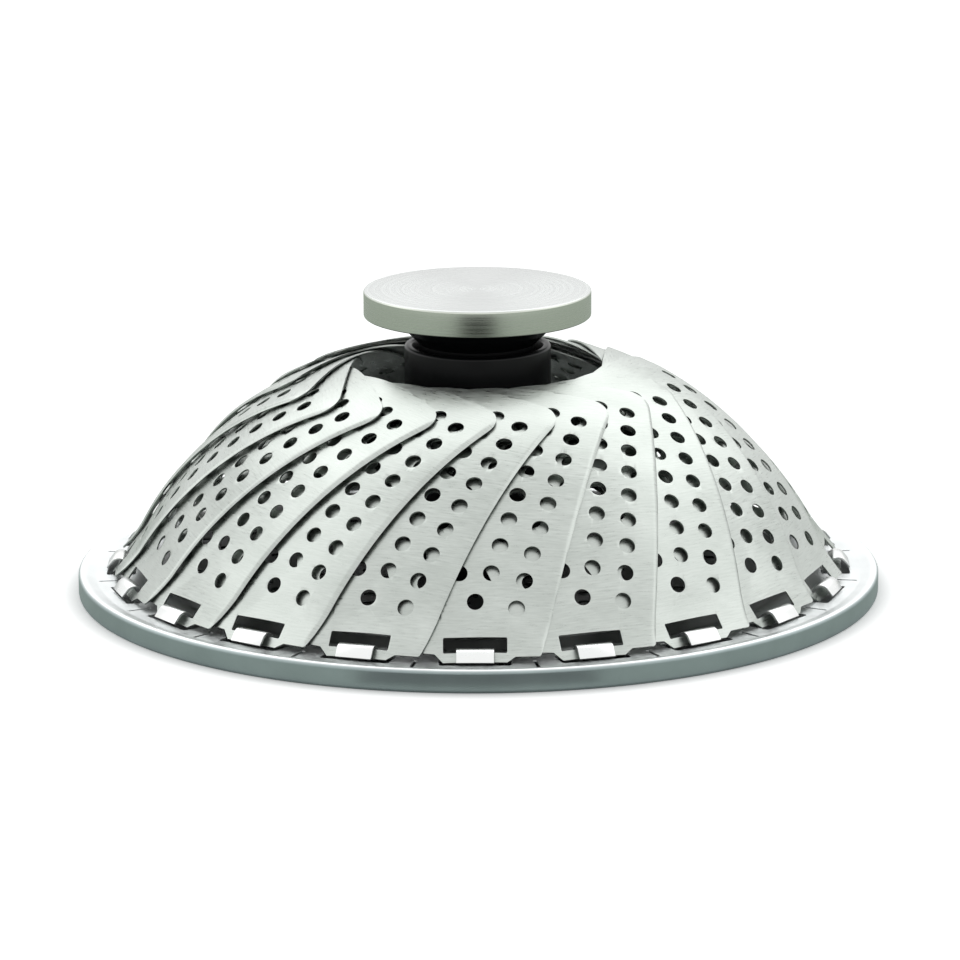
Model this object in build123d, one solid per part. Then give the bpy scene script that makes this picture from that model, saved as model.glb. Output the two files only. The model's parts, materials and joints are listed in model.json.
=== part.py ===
from build123d import *
from math import asin, cos, degrees, hypot, pi, radians, sin, sqrt, tan
import os

# A collapsible steamer basket, folded shut. Twenty thin perforated petals hinge on lugs of a
# round base plate and close into a dome round a telescoping handle with a disc knob.
# Millimetres, +Z up. The origin is the centre of the rim's underside, and the front is -Y.
# A turn is counted from the front towards +X, in degrees.

# Base plate
rim_radius = 82.5
rim_height = 4.7
rim_fold_radius = 0.9
skirt_thickness = 1.3
plate_sheet = 0.5
plate_top = 4.0
flange_inner_radius = 78.8
step_outer_radius = 66.0
step_inner_radius = 63.5
field_top = 5.6

# Petals
petal_count = 20
front_petal_turn = -0.53
petal_sheet = 0.35
dome_radius = 79.8
dome_centre_drop = 28.2
petal_side_shift = 7.0
petal_length = 64.7
petal_root_width = 25.4
petal_tip_width = 54.4
petal_tip_crown = 3.6
petal_corner_radius = 4.0
petal_view_tilt = 47.5

# Hinge of a petal, whose foot flares out from the dome and runs straight through it
hinge_radius = 74.14
hinge_height = 4.9
foot_lean = 40
foot_bend_radius = 18.0
hinge_strip = 2.0
strip_slope = 0.03
tab_width = 12.4
tab_flare = 1.6
shoulder_rise = 0.2
slot_width = 12.4
slot_height = 3.3
lug_width = 7.3
lug_inner_radius = 1.3
lug_outer_lean = 38
lug_inner_lean = 45
lug_tip_rise = 0.3
window_width = 14.0
window_outer_radius = 76.4
slit_width = 0.7
slit_inner_radius = 73.6
slit_outer_radius = 78.5

# Perforations
hole_diameter = 3.3
hole_row_count = 9
hole_first_row = 10.6
hole_row_pitch = 6.0
hole_row_arch_radius = 21.5
hole_row_arch_growth = 3.4
outer_column_start = 8.0
outer_column_spread = 1.54
inner_column_start = 3.1
inner_column_spread = 1.7
third_column_start = 2.2
third_column_spread = 1.88
fourth_column_start = 2.4
fourth_column_spread = 2.0
rows_between_centre_holes = 3
field_ring_count = 7
field_first_ring_radius = 24.0
field_ring_pitch = 5.8
field_hole_pitch = 6.4

# Post and its foot
post_radius = 15.0
post_top = 51.0
post_lip_rounding = 0.6
post_mouth_radius = 13.5
post_mouth_depth = 3.5
post_guide_length = 3.5
post_wall = 2.0
foot_radius = 19.0
foot_height = 3.0
foot_rounding = 1.0
spigot_height = 3.0
spigot_gap = 0.1

# Telescoping stem
stem_radius = 12.0
stem_wall = 2.6
stem_gap = 0.3
stem_top = 51.4
stem_floor_gap = 0.6
bulkhead_drop = 5.2
bulkhead_thickness = 2.8
stop_ring_height = 3.8
stop_ring_gap = 0.25
stop_ring_wall = 1.75
ring_fit = 0.1
friction_ring_wire = 1.2
friction_ring_gap = 0.1
groove_gap = 0.05

# Knob
knob_radius = 23.3
knob_top = 62.4
knob_height = 5.4
cap_sheet = 0.8
cap_rounding = 0.5
cap_lip_width = 1.3
cap_lip_height = 0.6
insert_gap = 0.15
insert_recess = 0.3
neck_radius = 16.6
neck_curve_radius = 2.4
flare_radius = 14.3
flare_height = 53.7
spigot_length = 5.0

# Fasteners
base_screw_diameter = 5.0
base_screw_head_diameter = 9.2
base_screw_head_height = 2.6
base_screw_tail = 0.5
base_nut_flats = 8.0
base_nut_height = 2.7
base_washer_diameter = 12.0
base_washer_sheet = 1.0
knob_screw_diameter = 4.0
knob_screw_head_diameter = 7.0
knob_screw_head_height = 2.4
knob_screw_reach = 10.0
knob_washer_diameter = 9.0
knob_washer_sheet = 0.8
screw_gap = 0.15
drive_socket_share = 0.45
drive_depth_share = 0.5

# Folding legs
leg_count = 3
leg_wire = 2.0
leg_width = 16.0
leg_length = 20.0
leg_corner_radius = 4.0
leg_hinge_radius = 52.0
clip_width = 7.0
clip_sheet = 0.6
clip_gap = 0.15
clip_reach = 8.0
rivet_offset = 5.2
rivet_diameter = 2.4
rivet_head_diameter = 4.4
rivet_head_height = 0.9
rivet_gap = 0.05
rivet_clear_land = 0.8

# A length that cutters run past the faces that they cut, and how closely edges are matched
overrun = 1.0
match_error = 0.02

# Places that follow from the sizes above
petal_pitch = 360 / petal_count
plate_bottom = plate_top - plate_sheet
field_bottom = field_top - plate_sheet
hinge_rise = hinge_height + dome_centre_drop
petal_arc_radius = sqrt(dome_radius**2 - petal_side_shift**2)
hinge_tilt = degrees(asin(hinge_rise / petal_arc_radius))
hinge_reach = hypot(hinge_radius, petal_side_shift)
lug_outer_radius = lug_inner_radius + plate_sheet
hole_radius = hole_diameter / 2
guide_radius = stem_radius + stem_gap
bore_radius = post_radius - post_wall
foot_top = field_top + foot_height
guide_bottom = post_top - post_mouth_depth - post_guide_length
stem_bottom = foot_top + spigot_height + stem_floor_gap
stem_inner_radius = stem_radius - stem_wall
stop_ring_inner_radius = bore_radius - stop_ring_gap - stop_ring_wall
stop_ring_middle = stem_bottom + stop_ring_height / 2
bulkhead_top = stem_top - bulkhead_drop
bulkhead_bottom = bulkhead_top - bulkhead_thickness
knob_bottom = knob_top - knob_height
leg_axis_height = field_bottom - clip_gap - leg_wire / 2
handle_travel = guide_bottom - stem_bottom - stop_ring_height - stem_gap


def turned(shape, turn):
    """The shape turned about the object's axis, from the front towards +X."""
    return Rot(0, 0, turn) * shape


def rod(radius, low, high):
    """A plain cylinder on the object's axis between two heights."""
    return Pos(0, 0, (low + high) / 2) * Cylinder(radius, high - low)


def ring(outer, inner, low, high):
    """A plain ring on the object's axis between two heights."""
    return rod(outer, low, high) - rod(inner, low - overrun, high + overrun)


def lathe(points):
    """A solid turned about the object's axis from a closed outline of (radius, height) points."""
    outline = Plane.XZ * make_face(Polyline(*points, close=True))
    return revolve(outline, Axis.Z)


def round_edges(shape, radius, height, size):
    """The shape with its circular edges at one radius and height rounded."""
    picked = []
    for edge in shape.edges().filter_by(GeomType.CIRCLE):
        same_height = abs(edge.arc_center.Z - height) < match_error
        if same_height and abs(edge.radius - radius) < match_error:
            picked.append(edge)
    return fillet(picked, size)


# Petals

def sheet_height(along):
    """Where a point on a petal's centre line, so far from the hinge, lies in the view plane."""
    tilt = radians(hinge_tilt - petal_view_tilt) + along / petal_arc_radius
    return petal_arc_radius * sin(tilt)


def petal_point(across, along):
    """A point in the middle of a petal's sheet, and the sheet's outward direction there."""
    level_radius = sqrt(dome_radius**2 - (across - petal_side_shift) ** 2)
    tilt = radians(hinge_tilt) + along / petal_arc_radius
    out = level_radius * cos(tilt)
    up = level_radius * sin(tilt)
    place = Vector(across, -out, up - dome_centre_drop)
    normal = Vector(across - petal_side_shift, -out, up)
    return place, normal.normalized()


def petal_view_plane():
    """The plane that a petal's outline is drawn in, facing the middle of the petal."""
    tilt = radians(petal_view_tilt)
    facing = (0, -cos(tilt), sin(tilt))
    return Plane(origin=(0, 0, -dome_centre_drop), x_dir=(1, 0, 0), z_dir=facing)


def foot_in_view(across, level):
    """Where a point of the straight foot, at one height above the rim, lies in the view plane."""
    reach = hinge_reach + (hinge_height - level) * tan(radians(foot_lean))
    out = sqrt(reach**2 - (across - petal_side_shift) ** 2)
    tilt = radians(petal_view_tilt)
    return (level + dome_centre_drop) * cos(tilt) - out * sin(tilt)


def strip_corner(across, along):
    """A point in the view plane, so far up the foot from the hinge line at the petal's middle."""
    level = hinge_height + along * cos(radians(foot_lean))
    return across, foot_in_view(0, level) - across * strip_slope


def petal_outline():
    """The outline of a petal, with the slot over its hinge strip."""
    tip = sheet_height(petal_length)
    corner = tip - petal_tip_crown
    tip_half = petal_tip_width / 2
    shoulder = hinge_height + shoulder_rise

    def lower_side(side):
        points = [strip_corner(side * tab_width / 2, -hinge_strip / 2)]
        for across in (side * (tab_width / 2 + tab_flare), side * petal_root_width / 2):
            points.append((across, foot_in_view(across, shoulder)))
        points.append((side * tip_half, corner))
        return points

    left = list(reversed(lower_side(-1)))
    right = lower_side(1)
    tip_edge = ThreePointArc(right[-1], (0, tip), left[0])
    sides = Polyline(*left, *right)
    leaf = make_face([tip_edge, *sides.edges()])
    corners = leaf.vertices().sort_by(Axis.Y)[-2:]
    leaf = fillet(corners, petal_corner_radius)
    low = hinge_strip / 2
    high = low + slot_height
    half = slot_width / 2
    corners = [(-half, low), (half, low), (half, high), (-half, high)]
    slot = Polyline(*[strip_corner(across, along) for across, along in corners], close=True)
    return leaf - make_face(slot)


def petal_hole_places():
    """The (across, along) places of a petal's holes, in columns that fan out to its tip."""
    columns = [
        (0, outer_column_start, outer_column_spread),
        (1, inner_column_start, inner_column_spread),
        (1 + rows_between_centre_holes, third_column_start, third_column_spread),
        (1 + 2 * rows_between_centre_holes, fourth_column_start, fourth_column_spread),
    ]
    places = []
    for row in range(hole_row_count):
        across_values = []
        if row % rows_between_centre_holes == 0:
            across_values.append(0)
        for first_row, start, spread in columns:
            if row >= first_row:
                across = start + (row - first_row) * spread
                across_values.extend([across, -across])
        arch_radius = hole_row_arch_radius + row * hole_row_arch_growth
        for across in across_values:
            arch = across**2 / (2 * arch_radius)
            places.append((across, hole_first_row + row * hole_row_pitch - arch))
    return places


def petal_shell():
    """The surface that every petal is cut from: a dome, a bend outwards and a straight foot."""
    lean = radians(foot_lean)
    down = Vector(sin(lean), -cos(lean))
    outwards = Vector(cos(lean), sin(lean))
    pole = Vector(0, -dome_centre_drop)
    hinge = Vector(hinge_reach, hinge_height)
    aside = hinge + outwards * foot_bend_radius - pole
    reach = dome_radius + foot_bend_radius
    back = -aside.dot(down) + sqrt(aside.dot(down) ** 2 - aside.dot(aside) + reach**2)
    bend_start = hinge + down * back
    bend_centre = bend_start + outwards * foot_bend_radius
    bend_end = pole + (bend_centre - pole).normalized() * dome_radius
    middle = (bend_start + bend_end) / 2 - bend_centre
    foot_end = hinge + down * (hinge_strip + overrun)

    def curves(offset):
        """The foot, the bend and the dome, so far outside the middle of the sheet."""
        foot = Line(foot_end + outwards * offset, bend_start + outwards * offset)
        turn = bend_centre + middle.normalized() * (foot_bend_radius - offset)
        finish = pole + (bend_end - pole).normalized() * (dome_radius + offset)
        bend = ThreePointArc(foot @ 1, turn, finish)
        half_way = (finish - pole).normalized() + Vector(0, 1)
        top = pole + Vector(0, dome_radius + offset)
        dome = ThreePointArc(finish, pole + half_way.normalized() * (dome_radius + offset), top)
        return [foot, bend, dome]

    inside = curves(-petal_sheet / 2)
    outside = curves(petal_sheet / 2)
    ends = [Line(inside[0] @ 0, outside[0] @ 0), Line(inside[-1] @ 1, outside[-1] @ 1)]
    outline = Plane.XZ * make_face([*inside, *outside, *ends])
    return Pos(petal_side_shift, 0, 0) * revolve(outline, Axis.Z)


def make_petal():
    """The front petal, closed."""
    prism = extrude(petal_view_plane() * petal_outline(), dome_radius + overrun)
    petal = petal_shell() & prism
    drills = []
    for across, along in petal_hole_places():
        place, normal = petal_point(across, along)
        drill = Cylinder(hole_radius, petal_sheet + 2 * overrun)
        drills.append(Plane(origin=place, z_dir=normal) * drill)
    return petal - drills


# Base plate

def lug_outline():
    """A lug seen from the side: up from the plate inside the petal, over its strip and down."""
    outer_lean = radians(lug_outer_lean)
    inner_lean = radians(lug_inner_lean)
    inner_turn = pi - inner_lean
    top_turn = (outer_lean + inner_turn) / 2

    def on_arch(radius, angle):
        return Vector(hinge_radius + radius * cos(angle), hinge_height + radius * sin(angle))

    def foot_of_leg(radius):
        top = on_arch(radius, inner_turn)
        return Vector(top.X - (top.Y - plate_bottom) * tan(inner_lean), plate_bottom)

    tip_height = plate_top + lug_tip_rise
    reach = (on_arch(lug_inner_radius, outer_lean).Y - tip_height) / cos(outer_lean)
    run = Vector(sin(outer_lean), -cos(outer_lean)) * reach
    edges = []
    for radius in (lug_inner_radius, lug_outer_radius):
        start = on_arch(radius, outer_lean)
        end = on_arch(radius, inner_turn)
        edges.append(Line(start + run, start))
        edges.append(ThreePointArc(start, on_arch(radius, top_turn), end))
        edges.append(Line(end, foot_of_leg(radius)))
    edges.append(Line(edges[0] @ 0, edges[3] @ 0))
    edges.append(Line(edges[2] @ 1, edges[5] @ 1))
    return make_face(edges), foot_of_leg(lug_inner_radius).X


def make_lug_and_window():
    """The front lug, and the cutter for the window that it was bent up from."""
    outline, window_inner_radius = lug_outline()
    side_plane = Plane(origin=(0, 0, 0), x_dir=(0, -1, 0), z_dir=(-1, 0, 0))
    lug = extrude(side_plane * outline, lug_width / 2, both=True)
    return lug, radial_cutter(window_width, window_inner_radius, window_outer_radius)


def radial_cutter(width, inner, outer):
    """A box that cuts a slot through the flange at the front, between two radii."""
    middle = (plate_top + plate_bottom) / 2
    box = Box(width, outer - inner, plate_sheet + 2 * overrun)
    return Pos(0, -(inner + outer) / 2, middle) * box


def rivet_places():
    """Every rivet's (x, y) place, two to a clip."""
    places = []
    for leg in range(leg_count):
        turn = radians(leg * 360 / leg_count)
        for radius in (leg_hinge_radius - rivet_offset, leg_hinge_radius + rivet_offset):
            places.append((radius * sin(turn), -radius * cos(turn)))
    return places


def field_hole_places():
    """The holes of the raised field, in rings, leaving out those that a rivet needs."""
    land = rivet_head_diameter / 2 + hole_radius + rivet_clear_land
    rivets = rivet_places()
    places = []
    for index in range(field_ring_count):
        radius = field_first_ring_radius + index * field_ring_pitch
        count = int(2 * pi * radius / field_hole_pitch)
        for step in range(count):
            turn = 2 * pi * (step + index % 2 / 2) / count
            x = radius * cos(turn)
            y = radius * sin(turn)
            nearest = min(sqrt((x - u) ** 2 + (y - v) ** 2) for u, v in rivets)
            if nearest > land:
                places.append((x, y))
    return places


def make_field():
    """The flat perforated middle of the base plate."""
    holes = [Wire.make_circle(base_screw_diameter / 2 + screw_gap)]
    for x, y in field_hole_places():
        holes.append(Wire.make_circle(hole_radius, Plane(origin=(x, y, 0))))
    for x, y in rivet_places():
        holes.append(Wire.make_circle(rivet_diameter / 2 + rivet_gap, Plane(origin=(x, y, 0))))
    face = Face(Wire.make_circle(step_inner_radius), holes)
    return Pos(0, 0, field_bottom) * extrude(face, plate_sheet)


def make_base_plate():
    """One stamped sheet: turned-down rim, flange with windows, slits and lugs, and the field."""
    rim = lathe([
        (rim_radius, 0),
        (rim_radius, rim_height),
        (rim_radius - skirt_thickness, rim_height),
        (flange_inner_radius, plate_top),
        (step_outer_radius, plate_top),
        (step_inner_radius, field_top),
        (step_inner_radius, field_bottom),
        (step_outer_radius, plate_bottom),
        (rim_radius - skirt_thickness, plate_bottom),
        (rim_radius - skirt_thickness, 0),
    ])
    rim = round_edges(rim, rim_radius, rim_height, rim_fold_radius)
    plate = rim + make_field()
    lug, window = make_lug_and_window()
    slit = radial_cutter(slit_width, slit_inner_radius, slit_outer_radius)
    turns = [front_petal_turn + index * petal_pitch for index in range(petal_count)]
    plate = plate - [turned(window, turn) for turn in turns]
    plate = plate - [turned(slit, turn + petal_pitch / 2) for turn in turns]
    return plate + [turned(lug, turn) for turn in turns]


# Handle

def make_post_base():
    """The foot that the post stands on, with a countersunk hole for the base screw."""
    spigot_radius = bore_radius - spigot_gap
    top = foot_top + spigot_height
    foot = ring(foot_radius, base_screw_diameter / 2 + screw_gap, field_top, foot_top)
    foot = round_edges(foot, foot_radius, foot_top, foot_rounding)
    spigot = ring(spigot_radius, base_screw_diameter / 2 + screw_gap, foot_top, top)
    sink_top = base_screw_head_diameter / 2 + screw_gap
    sink = lathe([
        (0, top - base_screw_head_height),
        (base_screw_diameter / 2 + screw_gap, top - base_screw_head_height),
        (sink_top, top - screw_gap),
        (sink_top, top + overrun),
        (0, top + overrun),
    ])
    return foot + spigot - sink


def make_post():
    """The fixed black tube, with a rounded lip, a funnel mouth and a guide for the stem."""
    post = lathe([
        (bore_radius, foot_top),
        (post_radius, foot_top),
        (post_radius, post_top),
        (post_mouth_radius, post_top),
        (guide_radius, post_top - post_mouth_depth),
        (guide_radius, guide_bottom),
        (bore_radius, guide_bottom),
    ])
    post = round_edges(post, post_radius, post_top, post_lip_rounding)
    return round_edges(post, post_mouth_radius, post_top, post_lip_rounding)


def make_stem():
    """The sliding inner tube, with a bulkhead for the knob screw and a seat for the stop ring."""
    seat_radius = stop_ring_inner_radius - ring_fit
    seat_top = stem_bottom + stop_ring_height + ring_fit
    tube = ring(stem_radius, stem_inner_radius, stem_bottom, stem_top)
    seat = ring(stem_radius + overrun, seat_radius, stem_bottom - overrun, seat_top)
    hole = knob_screw_diameter / 2 + screw_gap
    bulkhead = ring(stem_inner_radius, hole, bulkhead_bottom, bulkhead_top)
    return tube - seat + bulkhead


def make_stop_ring():
    """The grooved ring at the stem's foot that stops it against the post's guide."""
    outer = stop_ring_inner_radius + stop_ring_wall
    body = ring(outer, stop_ring_inner_radius, stem_bottom, stem_bottom + stop_ring_height)
    groove_radius = bore_radius - friction_ring_gap - friction_ring_wire - groove_gap
    half = friction_ring_wire / 2 + friction_ring_gap
    return body - ring(outer + overrun, groove_radius, stop_ring_middle - half, stop_ring_middle + half)


def make_friction_ring():
    """The round rubber ring in the stop ring's groove, which drags on the post's bore."""
    wire = friction_ring_wire / 2
    return Pos(0, 0, stop_ring_middle) * Torus(bore_radius - friction_ring_gap - wire, wire)


def make_knob_insert():
    """The black core of the knob, with its flared neck and the spigot that plugs the stem."""
    disc_radius = knob_radius - cap_sheet - insert_gap
    disc_top = knob_top - cap_sheet - insert_gap
    disc_bottom = knob_bottom + cap_lip_height + insert_gap
    underside = knob_bottom + insert_recess
    lip_radius = knob_radius - cap_lip_width - insert_gap
    spigot_radius = stem_inner_radius - spigot_gap
    spigot_bottom = stem_top - spigot_length
    hole = knob_screw_diameter / 2 + screw_gap
    hole_top = bulkhead_top + knob_screw_reach + screw_gap
    body = lathe([
        (0, disc_top),
        (disc_radius, disc_top),
        (disc_radius, disc_bottom),
        (lip_radius, disc_bottom),
        (lip_radius, underside),
        (neck_radius, underside),
        (flare_radius, flare_height),
        (stem_radius, stem_top),
        (spigot_radius, stem_top),
        (spigot_radius, spigot_bottom),
        (hole, spigot_bottom),
        (hole, hole_top),
        (0, hole_top),
    ])
    return round_edges(body, neck_radius, underside, neck_curve_radius)


def make_knob_cap():
    """The steel disc: a shallow cup with its edge turned in under the insert."""
    inner = knob_radius - cap_sheet
    lip = knob_radius - cap_lip_width
    cap = lathe([
        (0, knob_top),
        (knob_radius, knob_top),
        (knob_radius, knob_bottom),
        (lip, knob_bottom),
        (lip, knob_bottom + cap_lip_height),
        (inner, knob_bottom + cap_lip_height),
        (inner, knob_top - cap_sheet),
        (0, knob_top - cap_sheet),
    ])
    cap = round_edges(cap, knob_radius, knob_top, cap_rounding)
    return round_edges(cap, knob_radius, knob_bottom, cap_rounding)


# Fasteners

def drive_socket(head_diameter, depth, top):
    """The cutter for a hexagon socket in a screw's head, open upwards at the given height."""
    size = head_diameter * drive_socket_share / 2
    hexagon = extrude(RegularPolygon(size, 6), depth + overrun)
    return Pos(0, 0, top - depth) * hexagon


def make_base_screw():
    """The countersunk screw that holds the post's foot to the plate, its head up."""
    top = foot_top + spigot_height - screw_gap
    neck = top - base_screw_head_height + screw_gap
    tail = field_bottom - base_washer_sheet - base_nut_height - base_screw_tail
    screw = lathe([
        (0, top),
        (base_screw_head_diameter / 2, top),
        (base_screw_diameter / 2, neck),
        (base_screw_diameter / 2, tail),
        (0, tail),
    ])
    depth = base_screw_head_height * drive_depth_share
    return screw - drive_socket(base_screw_head_diameter, depth, top)


def make_base_washer():
    """The washer under the plate."""
    hole = base_screw_diameter / 2 + screw_gap
    return ring(base_washer_diameter / 2, hole, field_bottom - base_washer_sheet, field_bottom)


def make_base_nut():
    """The thin nut under the washer."""
    top = field_bottom - base_washer_sheet
    hexagon = extrude(RegularPolygon(base_nut_flats / 2, 6, major_radius=False), base_nut_height)
    nut = Pos(0, 0, top - base_nut_height) * hexagon
    bore = base_screw_diameter / 2 + screw_gap
    return nut - rod(bore, top - base_nut_height - overrun, top + overrun)


def make_knob_screw():
    """The screw that rises through the stem's bulkhead into the knob insert, its head down."""
    seat = bulkhead_bottom - knob_washer_sheet
    head = rod(knob_screw_head_diameter / 2, seat - knob_screw_head_height, seat)
    shank = rod(knob_screw_diameter / 2, seat, bulkhead_top + knob_screw_reach)
    depth = knob_screw_head_height * drive_depth_share
    size = knob_screw_head_diameter * drive_socket_share / 2
    socket = extrude(RegularPolygon(size, 6), depth + overrun)
    return head + shank - Pos(0, 0, seat - knob_screw_head_height - overrun) * socket


def make_knob_washer():
    """The washer under the bulkhead."""
    hole = knob_screw_diameter / 2 + screw_gap
    return ring(knob_washer_diameter / 2, hole, bulkhead_bottom - knob_washer_sheet, bulkhead_bottom)


# Folding legs

def make_leg():
    """The front leg: a closed loop of wire, folded flat under the plate."""
    loop = Rectangle(leg_width, leg_length)
    loop = fillet(loop.vertices(), leg_corner_radius)
    path = Pos(0, -leg_hinge_radius + leg_length / 2, leg_axis_height) * loop.wire()
    start = Plane(origin=path @ 0, z_dir=path % 0)
    return sweep(start * Circle(leg_wire / 2), path=path)


def make_leg_clip():
    """The front clip: a strip bent round the leg's hinge bar, with a foot each side for a rivet."""
    inner = leg_wire / 2 + clip_gap
    outer = inner + clip_sheet
    across = extrude(Plane.YZ * Circle(outer), clip_width / 2, both=True)
    saddle = across + Pos(0, 0, inner / 2) * Box(clip_width, 2 * outer, inner)
    feet = Box(clip_width, 2 * clip_reach, clip_sheet)
    feet = Pos(0, 0, inner - clip_sheet / 2) * feet
    above = Pos(0, 0, inner + outer) * Box(clip_width + overrun, 2 * outer + overrun, 2 * outer)
    hollow = extrude(Plane.YZ * Circle(inner), clip_width / 2 + overrun, both=True)
    slot = Pos(0, 0, outer / 2) * Box(clip_width + overrun, 2 * inner, outer)
    clip = saddle + feet - above - hollow - slot
    for side in (-1, 1):
        drill = Cylinder(rivet_diameter / 2 + rivet_gap, 2 * clip_reach)
        clip = clip - Pos(0, side * rivet_offset, 0) * drill
    return Pos(0, -leg_hinge_radius, leg_axis_height) * clip


def make_rivets():
    """All the rivets, each with a flat head above the plate and one below its clip."""
    rivets = []
    head = rivet_head_diameter / 2
    low = field_bottom - clip_sheet
    for x, y in rivet_places():
        shank = rod(rivet_diameter / 2, low, field_top)
        top_head = rod(head, field_top, field_top + rivet_head_height)
        low_head = rod(head, low - rivet_head_height, low)
        top_head = round_edges(top_head, head, field_top + rivet_head_height, rivet_head_height / 2)
        low_head = round_edges(low_head, head, low - rivet_head_height, rivet_head_height / 2)
        rivets.append(Pos(x, y, 0) * (shank + top_head + low_head))
    return Compound(children=rivets)


# The nodes

os.makedirs("parts", exist_ok=True)
nodes = {
    "base_plate": make_base_plate(),
    "post_base": make_post_base(),
    "post": make_post(),
    "stem": make_stem(),
    "stop_ring": make_stop_ring(),
    "friction_ring": make_friction_ring(),
    "knob_insert": make_knob_insert(),
    "knob_cap": make_knob_cap(),
    "base_screw": make_base_screw(),
    "base_washer": make_base_washer(),
    "base_nut": make_base_nut(),
    "knob_screw": make_knob_screw(),
    "knob_washer": make_knob_washer(),
    "leg_rivets": make_rivets(),
}

petal = make_petal()
for index in range(petal_count):
    turn = front_petal_turn + index * petal_pitch
    nodes[f"petal_{index + 1:02d}"] = turned(petal, turn)

leg = make_leg()
clip = make_leg_clip()
for index in range(leg_count):
    turn = index * 360 / leg_count
    nodes[f"leg_{index + 1}"] = turned(leg, turn)
    nodes[f"leg_clip_{index + 1}"] = turned(clip, turn)

for name, shape in nodes.items():
    export_step(shape, f"parts/{name}.step")

print(f"hinge line: radius {hinge_radius:.3f}, height {hinge_height:.3f}")
print(f"handle travel: {handle_travel:.2f}")
print(f"leg hinge: radius {leg_hinge_radius:.3f}, height {leg_axis_height:.3f}")
print(f"nodes: {len(nodes)}")
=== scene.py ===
import bpy
import bmesh
import json
from math import asin, atan2, cos, hypot, pi, radians, sin, sqrt, tan
from mathutils import Matrix, Vector


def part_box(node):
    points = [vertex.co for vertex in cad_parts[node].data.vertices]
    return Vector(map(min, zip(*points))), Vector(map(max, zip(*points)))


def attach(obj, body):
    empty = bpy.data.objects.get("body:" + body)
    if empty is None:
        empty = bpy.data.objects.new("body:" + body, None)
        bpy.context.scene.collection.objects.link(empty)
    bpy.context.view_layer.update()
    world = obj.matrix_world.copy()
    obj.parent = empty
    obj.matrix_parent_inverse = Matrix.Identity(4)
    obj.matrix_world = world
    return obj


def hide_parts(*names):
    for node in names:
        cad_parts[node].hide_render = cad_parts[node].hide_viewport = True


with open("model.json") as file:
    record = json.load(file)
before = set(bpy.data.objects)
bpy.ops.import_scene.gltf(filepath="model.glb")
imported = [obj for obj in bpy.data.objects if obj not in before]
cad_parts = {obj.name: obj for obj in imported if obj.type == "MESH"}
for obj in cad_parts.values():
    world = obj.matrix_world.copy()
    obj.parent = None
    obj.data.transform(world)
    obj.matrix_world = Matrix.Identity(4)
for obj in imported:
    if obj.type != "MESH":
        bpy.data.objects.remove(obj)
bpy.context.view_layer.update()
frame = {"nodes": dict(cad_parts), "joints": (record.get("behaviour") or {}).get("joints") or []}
mm = 0.001
mergeGap = 0.01 * mm
fineGap = 0.0005 * mm  # for lathed outlines, whose arcs have close points
joints = {joint["name"]: joint for joint in frame["joints"]}
xAxis = Vector((1, 0, 0))
zAxis = Vector((0, 0, 1))
sharpEdge = radians(50)  # faces of a sheet that meet at more than this get a rounded edge
print("frame loaded:", len(frame["nodes"]), "nodes")


# small helpers shared by all the pieces

def turnOf(joint):
    x, y = joint["pos_m"][:2]
    return atan2(x, -y)  # from the front towards +X


def aboutAxis(turn):
    return Matrix.Rotation(turn, 4, "Z")


def ringTurns(count):
    return [2 * pi * index / count for index in range(count)]


def spun(bm, verts, edges, steps, angle=2 * pi, whole=True):
    bmesh.ops.spin(bm, geom=verts + edges, cent=(0, 0, 0), axis=zAxis, dvec=(0, 0, 0),
                   angle=angle, steps=steps, use_merge=whole)


def rotated(bm, verts, turn):
    bmesh.ops.rotate(bm, cent=(0, 0, 0), matrix=aboutAxis(turn), verts=verts)


def newPiece(name, bm, material):
    mesh = bpy.data.meshes.new(name)
    bm.to_mesh(mesh)
    bm.free()
    mesh.materials.append(material)
    piece = bpy.data.objects.new(name, mesh)
    bpy.context.collection.objects.link(piece)
    return piece


def smoothFaces(piece, sharpAngle):
    mesh = piece.data
    mesh.polygons.foreach_set("use_smooth", [True] * len(mesh.polygons))
    mesh.set_sharp_from_angle(angle=radians(sharpAngle))


def placePiece(piece, body, slotName, *nodes):
    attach(piece, body)
    if nodes:
        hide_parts(*nodes)
    return piece


def sheetFinish(piece, sheet, offset, edgeWidth):
    wall = piece.modifiers.new("wall", "SOLIDIFY")
    wall.thickness = sheet
    wall.offset = offset
    wall.use_even_offset = True
    edge = piece.modifiers.new("edge", "BEVEL")
    edge.width = edgeWidth
    edge.segments = 2
    edge.limit_method = "ANGLE"
    edge.angle_limit = sharpEdge
    shade = piece.modifiers.new("shade", "WEIGHTED_NORMAL")
    shade.keep_sharp = True


def applied(piece):
    depsgraph = bpy.context.evaluated_depsgraph_get()
    mesh = bpy.data.meshes.new_from_object(piece.evaluated_get(depsgraph))
    piece.modifiers.clear()
    piece.data = mesh
    return piece


def arcPoints(centre, radius, fromAngle, toAngle, steps=8):
    points = []
    for step in range(steps + 1):
        angle = radians(fromAngle + (toAngle - fromAngle) * step / steps)
        points.append((centre[0] + radius * cos(angle), centre[1] + radius * sin(angle)))
    return points


def roundedOutline(corners, steps=6):
    # corners are (radius, height, rounding); each rounding becomes a short arc
    points = []
    for index, (x, y, rounding) in enumerate(corners):
        here = Vector((x, y))
        if rounding == 0:
            points.append((x, y))
            continue
        before = Vector(corners[index - 1][:2]) - here
        after = Vector(corners[(index + 1) % len(corners)][:2]) - here
        half = before.angle(after) / 2
        bisector = (before.normalized() + after.normalized()).normalized()
        centre = here + bisector * (rounding / sin(half))
        cut = rounding / (sin(half) / cos(half))
        start = here + before.normalized() * cut - centre
        end = here + after.normalized() * cut - centre
        sweep = start.angle_signed(end)
        for step in range(steps + 1):
            turned = start.copy()
            turned.rotate(Matrix.Rotation(-sweep * step / steps, 2))
            points.append(tuple(centre + turned))
    return points


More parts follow.
